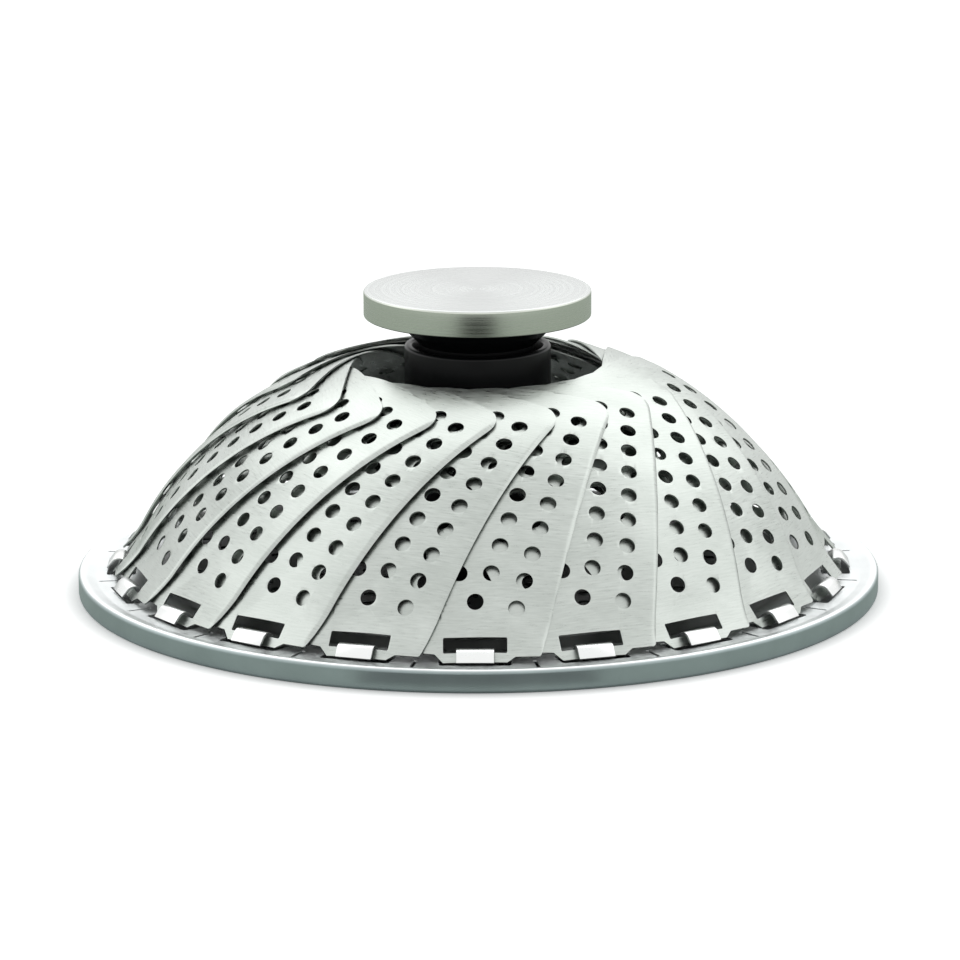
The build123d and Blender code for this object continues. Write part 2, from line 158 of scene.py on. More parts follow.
def lathe(name, outline, material, steps=160):
    # outline points are (radius, height) in metres
    bm = bmesh.new()
    verts = [bm.verts.new((radius, 0, height)) for radius, height in outline]
    edges = [bm.edges.new(pair) for pair in zip(verts, verts[1:] + verts[:1])]
    spun(bm, verts, edges, steps)
    bmesh.ops.remove_doubles(bm, verts=bm.verts[:], dist=fineGap)
    bmesh.ops.dissolve_degenerate(bm, edges=bm.edges[:], dist=fineGap)
    loose = [edge for edge in bm.edges if not edge.link_faces]  # what closed the outline on the axis
    bmesh.ops.delete(bm, geom=loose, context="EDGES")
    bmesh.ops.recalc_face_normals(bm, faces=bm.faces[:])
    piece = newPiece(name, bm, material)
    smoothFaces(piece, 32)
    return piece


def addRun(bm, section, move):
    # section is (faces, edges); returns the moved section
    faces, edges = section
    if faces:
        result = bmesh.ops.extrude_face_region(bm, geom=faces)
    else:
        result = bmesh.ops.extrude_edge_only(bm, edges=edges)
    fresh = result["geom"]
    verts = [item for item in fresh if isinstance(item, bmesh.types.BMVert)]
    bmesh.ops.translate(bm, vec=move, verts=verts)
    newFaces = [item for item in fresh if isinstance(item, bmesh.types.BMFace)] if faces else []
    newEdges = [item for item in fresh if isinstance(item, bmesh.types.BMEdge)]
    return newFaces, newEdges


def followPath(bm, section, place, heading, axis, moves, stepAngle=9):
    # moves are ("run", length) or ("turn", radius, degrees about the axis)
    for move in moves:
        if move[0] == "run":
            section = addRun(bm, section, heading * move[1])
            place = place + heading * move[1]
            continue
        radius, angle = move[1], radians(move[2])
        side = axis.cross(heading) * (1 if angle > 0 else -1)
        centre = place + side * radius
        steps = max(2, int(abs(move[2]) / stepAngle))
        turn = Matrix.Rotation(angle / steps, 4, axis)
        for step in range(steps):
            section = addRun(bm, section, Vector((0, 0, 0)))
            verts = list({vert for edge in section[1] for vert in edge.verts})
            bmesh.ops.rotate(bm, cent=centre, matrix=turn, verts=verts)
            place = centre + turn @ (place - centre)
            heading = turn.to_3x3() @ heading
    return section


def copiesOf(name, source, places, material, sharpAngle):
    # one mesh that holds a copy of the source at each of the places, which are matrices
    bm = bmesh.new()
    for place in places:
        mesh = source.data.copy()
        mesh.transform(place)
        bm.from_mesh(mesh)
        bpy.data.meshes.remove(mesh)
    piece = newPiece(name, bm, material)
    bpy.data.objects.remove(source)
    smoothFaces(piece, sharpAngle)
    return piece


# finishes

def newMaterial(name):
    material = bpy.data.materials.new(name)
    material.use_nodes = True
    nodes = material.node_tree.nodes
    nodes.clear()
    shader = nodes.new("ShaderNodeBsdfPrincipled")
    output = nodes.new("ShaderNodeOutputMaterial")
    material.node_tree.links.new(shader.outputs["BSDF"], output.inputs["Surface"])
    return material, nodes, material.node_tree.links, shader


def setInputs(links, node, values):
    # a number or colour is written into the input, and an output is linked to it
    for name, value in values.items():
        if isinstance(value, bpy.types.NodeSocket):
            links.new(value, node.inputs[name])
        else:
            node.inputs[name].default_value = value


def stretchedNoise(nodes, links, coordinates, scale, detail):
    mapping = nodes.new("ShaderNodeMapping")
    setInputs(links, mapping, {"Vector": coordinates, "Scale": scale})
    noise = nodes.new("ShaderNodeTexNoise")
    place = mapping.outputs["Vector"]
    setInputs(links, noise, {"Vector": place, "Scale": 1, "Detail": detail, "Roughness": 0.6})
    return noise.outputs["Fac"]


def mapped(nodes, links, value, fromLow, fromHigh, toLow=0, toHigh=1):
    spread = nodes.new("ShaderNodeMapRange")
    setInputs(links, spread, {
        "Value": value, "From Min": fromLow, "From Max": fromHigh, "To Min": toLow, "To Max": toHigh,
    })
    return spread.outputs["Result"]


def ranged(nodes, links, noise, low, high):
    return mapped(nodes, links, noise, 0.3, 0.7, low, high)  # most of a noise lies between these two


def mixNode(nodes, links, kind, factor, first, second, blend="MIX"):
    mix = nodes.new("ShaderNodeMix")
    mix.data_type = kind
    mix.blend_type = blend
    setInputs(links, mix, {"Factor": factor, "A": first, "B": second})
    return mix.outputs["Result"]


def mathNode(nodes, links, operation, first, second):
    node = nodes.new("ShaderNodeMath")
    node.operation = operation
    setInputs(links, node, {0: first, 1: second})
    return node.outputs[0]


def colourBetween(nodes, links, value, dark, light):
    return mixNode(nodes, links, "RGBA", value, (*dark, 1), (*light, 1))


def bumped(nodes, links, value, shader, strength, distance):
    bump = nodes.new("ShaderNodeBump")
    setInputs(links, bump, {"Strength": strength, "Distance": distance, "Height": value})
    links.new(bump.outputs["Normal"], shader.inputs["Normal"])


def brushedSteel(name, finish, uvName=None):
    material, nodes, links, shader = newMaterial(name)
    if uvName:
        source = nodes.new("ShaderNodeUVMap")
        source.uv_map = uvName
        coordinates = source.outputs["UV"]
    else:
        coordinates = nodes.new("ShaderNodeTexCoord").outputs["Object"]
    grain = stretchedNoise(nodes, links, coordinates, finish["grainScale"], 3)
    cloud = stretchedNoise(nodes, links, coordinates, finish["cloudScale"], 2)
    shades = mixNode(nodes, links, "FLOAT", finish.get("grainShare", 0.2), cloud, grain)
    colour = colourBetween(nodes, links, ranged(nodes, links, shades, 0, 1), finish["dark"], finish["light"])
    rough = ranged(nodes, links, grain, finish["smoothest"], finish["roughest"])
    if "zones" in finish:
        # each zone is (radius, colour) from the middle outwards: painted shade darkens the inner field and the
        # upright outside of the rim, a painted highlight whitens the rim's fold, and the outside of the rim is
        # also rougher, so dull
        distance = axisDistance(nodes, links, coordinates)[0]
        paintedLightRamp = nodes.new("ShaderNodeValToRGB")
        stops = paintedLightRamp.color_ramp.elements
        while len(stops) < len(finish["zones"]):
            stops.new(0.5)
        for stop, (radius, colourHere) in zip(stops, finish["zones"]):
            stop.position = radius / finish["outermost"]
            stop.color = (*colourHere, 1)
        links.new(mathNode(nodes, links, "DIVIDE", distance, finish["outermost"] * mm), paintedLightRamp.inputs["Fac"])
        colour = mixNode(nodes, links, "RGBA", 1, colour, paintedLightRamp.outputs["Color"], "MULTIPLY")
        near, far = (zone[0] * mm for zone in finish["zones"][-2:])
        outside = mapped(nodes, links, distance, near, far)
        rough = mixNode(nodes, links, "FLOAT", outside, rough, finish["rimRough"])
    setInputs(links, shader, {"Base Color": colour, "Roughness": rough, "Metallic": 1})
    bumped(nodes, links, grain, shader, finish["bump"], finish["bumpDepth"])
    return material


petalFinish = {
    "grainScale": (0.3, 2.6, 1), "cloudScale": (0.05, 0.09, 1), "grainShare": 0.6,
    "dark": (0.45, 0.485, 0.455), "light": (0.63, 0.668, 0.635),
    "smoothest": 0.25, "roughest": 0.42, "bump": 0.33, "bumpDepth": 0.02 * mm,
}
plateFinish = {
    "grainScale": (900, 900, 900), "cloudScale": (90, 90, 90),
    "dark": (0.78, 0.81, 0.81), "light": (0.9, 0.93, 0.93),
    "smoothest": 0.34, "roughest": 0.46, "bump": 0.1, "bumpDepth": 0.01 * mm,
    # painted shade on the inner field and on the rim's outside, and a painted highlight on the rim's fold
    "zones": [(66, (0.3, 0.3, 0.3)), (68, (0.9, 0.9, 0.9)), (80.6, (0.9, 0.9, 0.9)), (81.2, (1, 1, 1)),
              (82.15, (1, 1, 1)), (82.4, (0.34, 0.415, 0.415))],
    "outermost": 83, "rimRough": 0.5,
}
lugFinish = {
    "grainScale": (300, 300, 900), "cloudScale": (120, 120, 120),
    "dark": (0.86, 0.88, 0.87), "light": (0.93, 0.94, 0.93),
    "smoothest": 0.26, "roughest": 0.32, "bump": 0.02, "bumpDepth": 0.01 * mm,
}
wireFinish = {
    "grainScale": (1500, 1500, 1500), "cloudScale": (200, 200, 200),
    "dark": (0.6, 0.62, 0.62), "light": (0.7, 0.72, 0.72),
    "smoothest": 0.16, "roughest": 0.26, "bump": 0.05, "bumpDepth": 0.01 * mm,
}
fastenerFinish = {
    "grainScale": (1800, 1800, 1800), "cloudScale": (260, 260, 260),
    "dark": (0.5, 0.52, 0.53), "light": (0.62, 0.64, 0.65),
    "smoothest": 0.22, "roughest": 0.4, "bump": 0.12, "bumpDepth": 0.01 * mm,
}
# the cap's side colour, greener and lighter than its top, is a painted reflection of the floor
capFinish = {
    "side": (0.66, 0.7, 0.62), "top": (0.62, 0.64, 0.63),
    "smoothest": 0.2, "roughest": 0.32, "anisotropy": 0.75, "rings": 2600, "bump": 0.015, "bumpDepth": 0.01 * mm,
    "sideUntil": 0.35, "topFrom": 0.9,  # how far upwards a face looks, from 0 to 1
}
plasticFinish = {
    "dark": (0.003, 0.0034, 0.0038), "light": (0.006, 0.0067, 0.0074), "gloss": 0.25,
    "smoothest": 0.26, "roughest": 0.36, "grain": 900, "cloud": 75, "bump": 0.08, "bumpDepth": 0.02 * mm,
}
rubberFinish = {
    "dark": (0.012, 0.012, 0.012), "light": (0.02, 0.02, 0.02), "gloss": 0.3,
    "smoothest": 0.6, "roughest": 0.75, "grain": 1500, "cloud": 125, "bump": 0.15, "bumpDepth": 0.02 * mm,
}


def mouldedBlack(name, finish):
    material, nodes, links, shader = newMaterial(name)
    coordinates = nodes.new("ShaderNodeTexCoord").outputs["Object"]
    grain = stretchedNoise(nodes, links, coordinates, [finish["grain"]] * 3, 2)
    cloud = stretchedNoise(nodes, links, coordinates, [finish["cloud"]] * 3, 2)
    colour = colourBetween(nodes, links, ranged(nodes, links, cloud, 0, 1), finish["dark"], finish["light"])
    rough = ranged(nodes, links, cloud, finish["smoothest"], finish["roughest"])
    setInputs(links, shader, {"Base Color": colour, "Roughness": rough, "Specular IOR Level": finish["gloss"]})
    bumped(nodes, links, grain, shader, finish["bump"], finish["bumpDepth"])
    return material


def axisDistance(nodes, links, coordinates):
    # how far a point is from the handle's axis, and its height
    split = nodes.new("ShaderNodeSeparateXYZ")
    links.new(coordinates, split.inputs["Vector"])
    flat = nodes.new("ShaderNodeCombineXYZ")
    setInputs(links, flat, {"X": split.outputs["X"], "Y": split.outputs["Y"]})
    length = nodes.new("ShaderNodeVectorMath")
    length.operation = "LENGTH"
    links.new(flat.outputs["Vector"], length.inputs[0])
    return length.outputs["Value"], split.outputs["Z"]


def turnedSteel(name, finish):
    # spin-brushed: fine rings about the handle's axis
    material, nodes, links, shader = newMaterial(name)
    coordinates = nodes.new("ShaderNodeTexCoord").outputs["Object"]
    distance, height = axisDistance(nodes, links, coordinates)
    rings = nodes.new("ShaderNodeCombineXYZ")
    setInputs(links, rings, {"X": distance, "Y": height})
    size = finish["rings"]
    grain = stretchedNoise(nodes, links, rings.outputs["Vector"], (size, size, 1), 3)
    geometry = nodes.new("ShaderNodeNewGeometry")
    facing = nodes.new("ShaderNodeSeparateXYZ")
    links.new(geometry.outputs["Normal"], facing.inputs["Vector"])
    # faces that look sideways get the side colour, a painted reflection of the floor; faces that look up get the
    # top colour
    topness = mapped(nodes, links, facing.outputs["Z"], finish["sideUntil"], finish["topFrom"])
    colour = colourBetween(nodes, links, topness, finish["side"], finish["top"])
    rough = ranged(nodes, links, grain, finish["smoothest"], finish["roughest"])
    tangent = nodes.new("ShaderNodeTangent")
    tangent.direction_type = "RADIAL"
    tangent.axis = "Z"
    setInputs(links, shader, {
        "Base Color": colour, "Roughness": rough, "Metallic": 1,
        "Anisotropic": finish["anisotropy"], "Tangent": tangent.outputs["Tangent"],
    })
    bumped(nodes, links, grain, shader, finish["bump"], finish["bumpDepth"])
    return material


petalSteel = brushedSteel("petalSteel", petalFinish, "sheetUv")
plateSteel = brushedSteel("plateSteel", plateFinish)
lugSteel = brushedSteel("lugSteel", lugFinish)
wireSteel = brushedSteel("wireSteel", wireFinish)
fastenerSteel = brushedSteel("fastenerSteel", fastenerFinish)
capSteel = turnedSteel("capSteel", capFinish)
blackPlastic = mouldedBlack("blackPlastic", plasticFinish)
blackRubber = mouldedBlack("blackRubber", rubberFinish)
print("finishes made")


# petals

petal = {
    "count": 20, "sheet": 0.35 * mm, "edge": 0.06 * mm,
    "domeRadius": 79.8 * mm, "centreDrop": 28.2 * mm, "sideShift": 7 * mm, "viewTilt": radians(47.5),
    "length": 64.7 * mm, "rootWidth": 25.4 * mm, "tipWidth": 54.4 * mm, "tipCrown": 3.6 * mm,
    "cornerRadius": 4 * mm, "footLean": radians(40), "footBend": 18 * mm, "hingeStrip": 2 * mm, "stripSlope": 0.03,
    "tabWidth": 12.4 * mm, "tabFlare": 1.6 * mm, "shoulderRise": 0.2 * mm,
    "slotWidth": 12.4 * mm, "slotHeight": 3.3 * mm, "slotCorner": 0.3 * mm, "gridStep": 2.2 * mm,
    "shoulderCorner": 0.6 * mm, "rollWidth": 0.9 * mm, "rollDepth": 0.4 * mm, "rollFade": 3 * mm, "rollTurn": 75,
    "rollCuts": (0.2, 0.4, 0.6, 0.85, 1.1),  # millimetres in from the free edge
    "rollCorner": 1.1, "rollCore": 0.5,  # shares of the corner's radius
    "seatRise": 0.95 * mm, "seatWidth": 8 * mm, "seatStart": 6 * mm, "seatEnd": 38 * mm,
    "crownSteps": 16, "crownSkip": 4, "poleMargin": 2 * mm, "grainShift": 70,
}
petalHoles = {
    "radius": 1.65 * mm, "sides": 20, "rows": 9, "firstRow": 10.6 * mm, "rowPitch": 6 * mm,
    "archRadius": 21.5 * mm, "archGrowth": 3.4 * mm, "centreEvery": 3,
    "columns": [(0, 8 * mm, 1.54 * mm), (1, 3.1 * mm, 1.7 * mm), (4, 2.2 * mm, 1.88 * mm), (7, 2.4 * mm, 2 * mm)],
}
hinge = joints["petal_01_hinge"]
hingeHeight = hinge["pos_m"][2]
hingeRadius = Vector(hinge["pos_m"][:2]).length
arcRadius = sqrt(petal["domeRadius"] ** 2 - petal["sideShift"] ** 2)
hingeTilt = asin((hingeHeight + petal["centreDrop"]) / arcRadius)
domeBase = Vector((0, 0, -petal["centreDrop"]))
viewUp = Vector((0, sin(petal["viewTilt"]), cos(petal["viewTilt"])))
viewOut = Vector((0, -cos(petal["viewTilt"]), sin(petal["viewTilt"])))
hingeReach = hypot(hingeRadius, petal["sideShift"])
petalNumbers = [f"{index + 1:02d}" for index in range(petal["count"])]
petalTurns = [turnOf(joints[f"petal_{number}_hinge"]) for number in petalNumbers]


def sheetHeight(along):
    return arcRadius * sin(hingeTilt - petal["viewTilt"] + along / arcRadius)


def onDome(across, along):
    levelRadius = sqrt(petal["domeRadius"] ** 2 - (across - petal["sideShift"]) ** 2)
    tilt = hingeTilt + along / arcRadius
    out = levelRadius * cos(tilt)
    up = levelRadius * sin(tilt)
    place = Vector((across, -out, up)) + domeBase
    normal = Vector((across - petal["sideShift"], -out, up)).normalized()
    return place, normal


def footBend():
    # the bend between the straight foot and the dome: its centre, and the heights it runs between
    lean, bend = petal["footLean"], petal["footBend"]
    down, out = Vector((sin(lean), -cos(lean))), Vector((cos(lean), sin(lean)))
    pole = Vector((0, -petal["centreDrop"]))
    aside = Vector((hingeReach, hingeHeight)) + out * bend - pole
    reach = petal["domeRadius"] + bend
    back = -aside.dot(down) + sqrt(aside.dot(down) ** 2 - aside.dot(aside) + reach ** 2)
    centre = pole + aside + down * back
    return centre, (centre - out * bend).y, (centre + (pole - centre).normalized() * bend).y


bendCentre, bendLow, bendHigh = footBend()


def sheetReach(height):
    # how far the petal's sheet is from the upright axis that it is turned about
    if height < bendLow:
        return hingeReach + (hingeHeight - height) * tan(petal["footLean"])
    if height < bendHigh:
        return bendCentre.x - sqrt(petal["footBend"] ** 2 - (height - bendCentre.y) ** 2)
    return sqrt(petal["domeRadius"] ** 2 - (height + petal["centreDrop"]) ** 2)


def sheetPoint(across, height):
    aside = across - petal["sideShift"]
    return Vector((across, -sqrt(sheetReach(height) ** 2 - aside ** 2), height))


def inView(across, height):
    return (sheetPoint(across, height) - domeBase).dot(viewUp)


def stripCorner(across, along):
    return across, inView(0, hingeHeight + along * cos(petal["footLean"])) - across * petal["stripSlope"]


def fromView(across, drawn):
    # the point of the sheet that is drawn at this height in the view plane
    low, high = 0, petal["domeRadius"] - petal["centreDrop"] - petal["poleMargin"]
    for attempt in range(40):  # halves the span each time
        middle = (low + high) / 2
        if inView(across, middle) < drawn:
            low = middle
        else:
            high = middle
    return sheetPoint(across, low)


def holePlaces():
    places = []
    for row in range(petalHoles["rows"]):
        acrossValues = [0] if row % petalHoles["centreEvery"] == 0 else []
        for firstRow, start, spread in petalHoles["columns"]:
            if row >= firstRow:
                across = start + (row - firstRow) * spread
                acrossValues += [across, -across]
        archRadius = petalHoles["archRadius"] + row * petalHoles["archGrowth"]
        for across in acrossValues:
            arch = across ** 2 / (2 * archRadius)
            places.append((across, petalHoles["firstRow"] + row * petalHoles["rowPitch"] - arch))
    return places


def outlineLoop(bm, points, roundings):
    # a closed loop of edges, with some of its corners rounded: roundings is {index: radius}
    verts = [bm.verts.new((x, y, 0)) for x, y in points]
    bm.faces.new(verts)
    cuts = []
    for index, radius in roundings.items():
        corner = verts[index]
        before = verts[index - 1].co - corner.co
        after = verts[(index + 1) % len(verts)].co - corner.co
        half = before.angle(after) / 2
        cuts.append((corner, radius * cos(half) / sin(half)))
    for corner, cut in cuts:
        bmesh.ops.bevel(bm, geom=[corner], offset=cut, offset_type="OFFSET", segments=8,
                        profile=0.5, affect="VERTICES", material=-1)


def rightEdge():
    # the petal's free edge in the view plane: a point low on it, its direction, and its top corner
    low = Vector((petal["rootWidth"] / 2, inView(petal["rootWidth"] / 2, hingeHeight + petal["shoulderRise"])))
    high = Vector((petal["tipWidth"] / 2, sheetHeight(petal["length"]) - petal["tipCrown"]))
    along = (high - low).normalized()
    return low, along, high


def rollDrop(across, drawn):
    # how far the sheet is turned in at a point near the free edge
    low, along, high = rightEdge()
    radius = petal["cornerRadius"]
    inwards = Vector((-along.y, along.x))
    here = Vector((across, drawn)) - low
    level = here.dot(along)
    depth = here.dot(inwards)
    fade = min(1, max(0, level / petal["rollFade"]))
    cornerStart = (high - low).length - radius * petal["rollCorner"]
    if level > cornerStart:
        centre = low + along * cornerStart + inwards * radius
        spoke = Vector((across, drawn)) - centre
        if spoke.dot(along) > 0 and spoke.length > petal["rollCore"] * radius:
            depth = radius - spoke.length
        turn = (-inwards).angle(spoke) if spoke.length > 0 else 0
        fade = max(0, 1 - turn / radians(petal["rollTurn"]))
    share = min(1, max(0, 1 - depth / petal["rollWidth"]))
    return petal["rollDepth"] * fade * share ** 2


def seatRise(across, drawn, radius):
    # how far the sheet is pressed out where the free edge of the petal before it lies over it
    low, _, high = rightEdge()
    climb = (drawn - low.y) / (high.y - low.y)
    halfWidth = low.x + (high.x - low.x) * climb
    covered = halfWidth - 2 * pi * radius / petal["count"]
    share = min(1, max(0, (covered + petal["seatStart"] - across) / petal["seatWidth"]))
    fade = min(1, max(0, 1 - (drawn - low.y) / petal["seatEnd"]))
    return petal["seatRise"] * fade * share ** 2 * (3 - 2 * share)


def petalFlat():
    # the petal's outline, slot and holes, filled flat in the view plane
    bm = bmesh.new()
    tip = sheetHeight(petal["length"])
    tipHalf = petal["tipWidth"] / 2
    shoulder = hingeHeight + petal["shoulderRise"]
    tabHalf = petal["tabWidth"] / 2
    right, left = [], []
    for side, points in ((1, right), (-1, left)):
        points.append(stripCorner(side * tabHalf, -petal["hingeStrip"] / 2))
        for across in (side * (tabHalf + petal["tabFlare"]), side * petal["rootWidth"] / 2):
            points.append((across, inView(across, shoulder)))
    crownRadius = (tipHalf ** 2 + petal["tipCrown"] ** 2) / (2 * petal["tipCrown"])
    crown = []
    steps, skip = petal["crownSteps"], petal["crownSkip"]
    for step in range(2 * steps + 1):  # from the right corner over the middle to the left one
        across = tipHalf * (1 - step / steps)
        crown.append((across, tip - crownRadius + sqrt(crownRadius ** 2 - across ** 2)))
    points = right + crown[:1] + crown[skip:-skip] + crown[-1:] + left[::-1]
    lastCorner = len(points) - 1 - len(left)
    outlineLoop(bm, points, {2: petal["shoulderCorner"], 3: petal["cornerRadius"],
                             lastCorner: petal["cornerRadius"], len(points) - 3: petal["shoulderCorner"]})
    low = petal["hingeStrip"] / 2
    high = low + petal["slotHeight"]
    half = petal["slotWidth"] / 2
    slotCorners = [stripCorner(*place) for place in ((-half, low), (half, low), (half, high), (-half, high))]
    outlineLoop(bm, slotCorners, {index: petal["slotCorner"] for index in range(4)})
    bmesh.ops.delete(bm, geom=bm.faces[:], context="FACES_ONLY")
    for across, along in holePlaces():
        place, normal = onDome(across, along)
        turn = normal.to_track_quat("Z", "Y").to_matrix().to_4x4()
        made = bmesh.ops.create_circle(bm, cap_ends=False, segments=petalHoles["sides"],
                                       radius=petalHoles["radius"], matrix=Matrix.Translation(place) @ turn)
        for vert in made["verts"]:
            vert.co = Vector((vert.co.x, (vert.co - domeBase).dot(viewUp), 0))
    bmesh.ops.triangle_fill(bm, use_beauty=True, use_dissolve=False, edges=bm.edges[:])
    return bm


def crossCut(bm, step, low, high):
    # cuts the flat sheet along a grid, so that it bends smoothly
    for axis in (0, 1):
        place = low[axis] + step
        while place < high[axis]:
            point = Vector((0, 0, 0))
            point[axis] = place
            normal = Vector((0, 0, 0))
            normal[axis] = 1
            bmesh.ops.bisect_plane(bm, geom=bm.verts[:] + bm.edges[:] + bm.faces[:], dist=mergeGap,
                                   plane_co=point, plane_no=normal)
            place += step


def makePetalMesh():
    bm = petalFlat()
    xs = [vert.co.x for vert in bm.verts]
    ys = [vert.co.y for vert in bm.verts]
    crossCut(bm, petal["gridStep"], (min(xs), min(ys)), (max(xs), max(ys)))
    low, along = rightEdge()[:2]
    inwards = Vector((-along.y, along.x))
    for cut in petal["rollCuts"]:
        bmesh.ops.bisect_plane(bm, geom=bm.verts[:] + bm.edges[:] + bm.faces[:], dist=mergeGap,
                               plane_co=(low + inwards * cut * mm).to_3d(), plane_no=inwards.to_3d())
    uvLayer = bm.loops.layers.uv.new("sheetUv")
    for face in bm.faces:
        for loop in face.loops:
            loop[uvLayer].uv = (loop.vert.co.x / mm, loop.vert.co.y / mm)
    for vert in bm.verts:
        place = fromView(vert.co.x, vert.co.y)
        inside = (domeBase + xAxis * petal["sideShift"] - place).normalized()
        rise = seatRise(vert.co.x, vert.co.y, hypot(place.x, place.y))
        vert.co = place + inside * (rollDrop(vert.co.x, vert.co.y) - rise)
    bm.normal_update()
    if sum(face.normal.dot(viewOut) * face.calc_area() for face in bm.faces) < 0:
        bmesh.ops.reverse_faces(bm, faces=bm.faces[:])
    piece = newPiece("petalPattern", bm, petalSteel)
    sheetFinish(piece, petal["sheet"], 0, petal["edge"])
    smoothFaces(piece, 40)
    return applied(piece)


def makePetals():
    pattern = makePetalMesh()
    for index, (number, turn) in enumerate(zip(petalNumbers, petalTurns)):
        mesh = pattern.data.copy()
        for corner in mesh.uv_layers["sheetUv"].data:
            corner.uv[0] += petal["grainShift"] * index  # each petal gets its own grain
        mesh.transform(aboutAxis(turn))
        piece = bpy.data.objects.new(f"petalLeaf_{number}", mesh)
        bpy.context.collection.objects.link(piece)
        placePiece(piece, f"petal_{number}_body", "steel_sheet", f"petal_{number}")
    bpy.data.objects.remove(pattern)


makePetals()
print("petals made")


# base plate, its lugs and its windows

plate = {
    "rimRadius": 82.5 * mm, "rimHeight": 4.7 * mm, "sheet": 0.5 * mm, "edge": 0.08 * mm, "steps": 240,
    "foldRadius": 0.9 * mm, "foldFrom": 104, "foldOut": 1.7 * mm, "foldDrop": 0.17 * mm,
    "easeOut": 0.6 * mm, "easeUp": 0.06 * mm, "hemRadius": 0.65 * mm, "hemTop": 2.9 * mm,
    "flatTop": 4 * mm, "fieldTop": 5.6 * mm, "fieldFlat": 62.5 * mm, "stepEnd": 67 * mm,
    "flangeStart": 78.7 * mm, "windowHalf": 7 * mm, "windowOuter": 76.4 * mm, "windowCorner": 0.4 * mm,
    "slitHalf": 0.35 * mm, "slitInner": 73.6 * mm, "slitOuter": 78.5 * mm, "slitRound": 0.7, "holeSides": 32,
}
plateStep = [(63.2, 5.58), (63.9, 5.33), (65.5, 4.28), (66.2, 4.02)]  # radius and height, millimetres
plateHoles = {
    "radius": 1.65 * mm, "sides": 16, "rings": 7, "firstRing": 24 * mm, "ringPitch": 5.8 * mm,
    "holePitch": 6.4 * mm, "land": 4.65 * mm, "centre": 2.65 * mm,
}
lug = {
    "width": 7.3 * mm, "sheet": 0.5 * mm, "innerRadius": 1.3 * mm, "innerLean": 45, "outerLean": 38,
    "rootBend": 0.7 * mm, "tipRise": 0.3 * mm, "edge": 0.06 * mm,
}
legSizes = {
    "count": 3, "wire": 2 * mm, "width": 16 * mm, "length": 20 * mm, "corner": 4 * mm,
    "clipWidth": 7 * mm, "clipSheet": 0.6 * mm, "clipGap": 0.15 * mm, "clipReach": 8 * mm,
    "clipBend": 0.5 * mm, "clipEdge": 0.08 * mm, "headRound": 0.8,
    "rivetOffset": 5.2 * mm, "rivetRadius": 1.2 * mm, "headRadius": 2.2 * mm, "headHeight": 0.9 * mm,
}
legHingeRadius = Vector(joints["leg_1_fold"]["pos_m"][:2]).length
legHingeHeight = joints["leg_1_fold"]["pos_m"][2]


def lugPath():
    # the lug's middle line: where it leaves the plate, and its two straight runs
    middle = lug["innerRadius"] + lug["sheet"] / 2
    rise, fall = radians(90 - lug["innerLean"]), radians(90 - lug["outerLean"])
    topOfRise = hingeHeight + middle * cos(rise)
    bendRise = lug["rootBend"] * (1 - cos(rise))
    riseRun = (topOfRise - bendRise - (plate["flatTop"] - lug["sheet"] / 2)) / sin(rise)
    root = hingeRadius - (middle + lug["rootBend"]) * sin(rise) - riseRun * cos(rise)
    tip = plate["flatTop"] + lug["tipRise"] + lug["sheet"] / 2 * cos(fall)
    fallRun = (hingeHeight + middle * cos(fall) - tip) / sin(fall)
    return middle, root, riseRun, fallRun


def rivetPlaces():
    places = []
    for turn in ringTurns(legSizes["count"]):
        for offset in (-legSizes["rivetOffset"], legSizes["rivetOffset"]):
            radius = legHingeRadius + offset
            places.append((radius * sin(turn), -radius * cos(turn)))
    return places


def flatRegion(bm, outer, inner, cutters):
    # fills between two circles, leaving out loops that are already drawn by the cutters
    before = set(bm.edges)
    innerSides = plate["holeSides"] if inner == plateHoles["centre"] else plate["steps"]
    for radius, sides in ((outer, plate["steps"]), (inner, innerSides)):
        bmesh.ops.create_circle(bm, cap_ends=False, segments=sides, radius=radius)
    for cutter in cutters:
        cutter(bm)
    edges = [edge for edge in bm.edges if edge not in before]
    bmesh.ops.triangle_fill(bm, use_beauty=True, use_dissolve=False, edges=edges)


def drawFieldHoles(bm):
    rivets = rivetPlaces()
    for index in range(plateHoles["rings"]):
        radius = plateHoles["firstRing"] + index * plateHoles["ringPitch"]
        count = int(2 * pi * radius / plateHoles["holePitch"])
        for step in range(count):
            turn = 2 * pi * (step + index % 2 / 2) / count
            x, y = radius * cos(turn), radius * sin(turn)
            if min(sqrt((x - u) ** 2 + (y - v) ** 2) for u, v in rivets) > plateHoles["land"]:
                bmesh.ops.create_circle(bm, cap_ends=False, segments=plateHoles["sides"],
                                        radius=plateHoles["radius"], matrix=Matrix.Translation((x, y, 0)))


def drawWindows(bm):
    root = lugPath()[1]
    half, far, cut = plate["windowHalf"], plate["windowOuter"], plate["windowCorner"]
    thin, slitNear, slitFar = plate["slitHalf"], plate["slitInner"], plate["slitOuter"]
    window = [(-half, root + cut), (-half + cut, root), (half - cut, root), (half, root + cut),
              (half, far - cut), (half - cut, far), (-half + cut, far), (-half, far - cut)]
    aside, slitSide = plate["slitRound"] * thin, slitFar - thin
    slit = [(-thin, slitNear), (thin, slitNear), (thin, slitSide), (aside, slitSide + aside),
            (0, slitFar), (-aside, slitSide + aside), (-thin, slitSide)]
    for turn in petalTurns:
        for outline, extra in ((window, 0), (slit, pi / petal["count"])):
            place = aboutAxis(turn + extra)
            verts = [bm.verts.new(place @ Vector((across, -radius, 0))) for across, radius in outline]
            for pair in zip(verts, verts[1:] + verts[:1]):
                bm.edges.new(pair)


def raised(bm, verts, height):
    bmesh.ops.translate(bm, vec=(0, 0, height), verts=verts)


